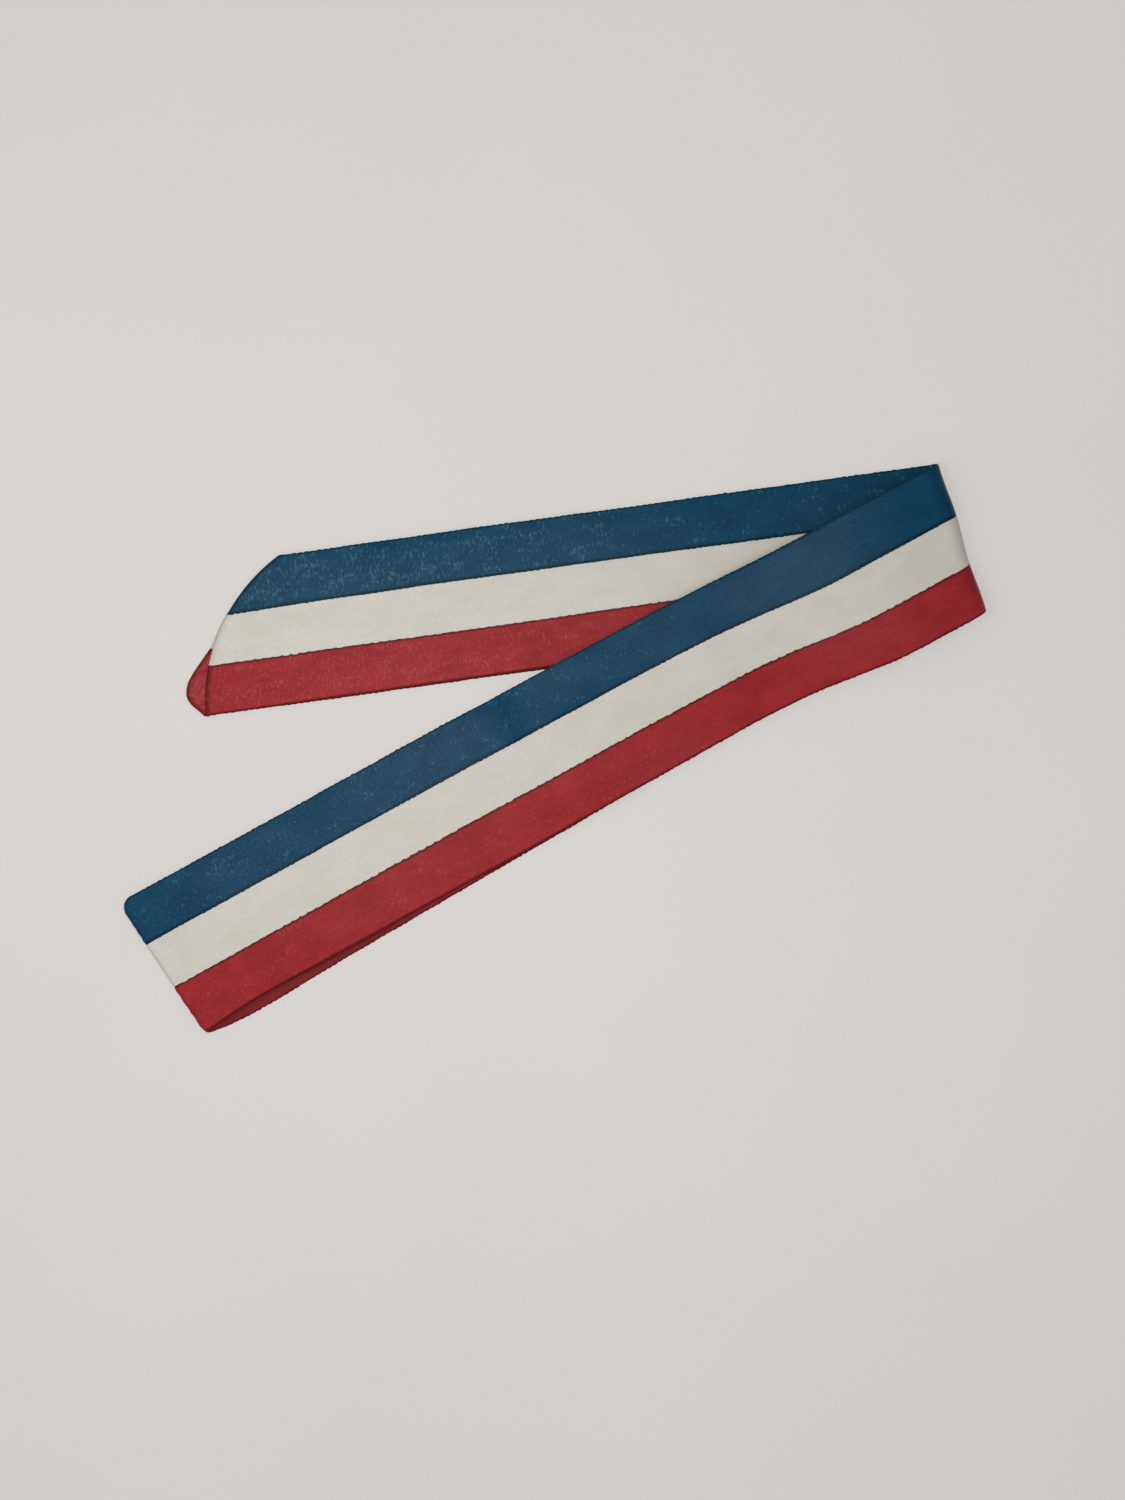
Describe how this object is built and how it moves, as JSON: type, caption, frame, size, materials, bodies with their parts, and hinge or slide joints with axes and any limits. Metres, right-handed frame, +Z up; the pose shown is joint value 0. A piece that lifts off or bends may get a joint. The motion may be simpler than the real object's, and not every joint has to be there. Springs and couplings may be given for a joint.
{
  "type": "award neck ribbon",
  "caption": "Tricolour woven award neck ribbon sewn into a loop with a mitred V seam, laid flat double and folded once across itself.",
  "frame": {"origin": "centre of the laid ribbon's outline, on the surface it lies on", "axes": "+X along the longest side of the laid ribbon towards its fold, +Z up"},
  "size_m": [0.2196, 0.1434, 0.009],
  "materials": {
    "blue_tape": "woven polyester, slate blue warp, matt with a soft sheen",
    "white_tape": "woven polyester, off-white warp, matt with a soft sheen",
    "red_tape": "woven polyester, brick red warp, matt with a soft sheen",
    "turned_tape": "cut ends of the same tape, turned in at the seam",
    "sewing_thread": "spun polyester sewing thread, off-white"
  },
  "bodies": {
    "rear_leg": {"rear_lower_blue": "blue_tape", "rear_lower_white": "white_tape", "rear_lower_red": "red_tape", "rear_upper_blue": "blue_tape", "rear_upper_white": "white_tape", "rear_upper_red": "red_tape", "fold_outer_blue": "blue_tape", "fold_outer_white": "white_tape", "fold_outer_red": "red_tape", "fold_inner_blue": "blue_tape", "fold_inner_white": "white_tape", "fold_inner_red": "red_tape", "seam_allowance_lower": "turned_tape", "seam_allowance_upper": "turned_tape", "seam_needle_thread": "sewing_thread", "seam_bobbin_thread": "sewing_thread"},
    "front_leg": {"front_lower_blue": "blue_tape", "front_lower_white": "white_tape", "front_lower_red": "red_tape", "front_upper_blue": "blue_tape", "front_upper_white": "white_tape", "front_upper_red": "red_tape", "end_bend_blue": "blue_tape", "end_bend_white": "white_tape", "end_bend_red": "red_tape"}
  },
  "joints": [
    {"name": "unfold", "type": "hinge", "parent": "rear_leg", "child": "front_leg", "pos_m": [0.09954, 0.05189, 0.0045], "axis": [-0.3098, 0.9508, 0], "range_deg": [0, 180], "deforming": ["fold_outer_blue", "fold_outer_white", "fold_outer_red", "fold_inner_blue", "fold_inner_white", "fold_inner_red"]}
  ]
}
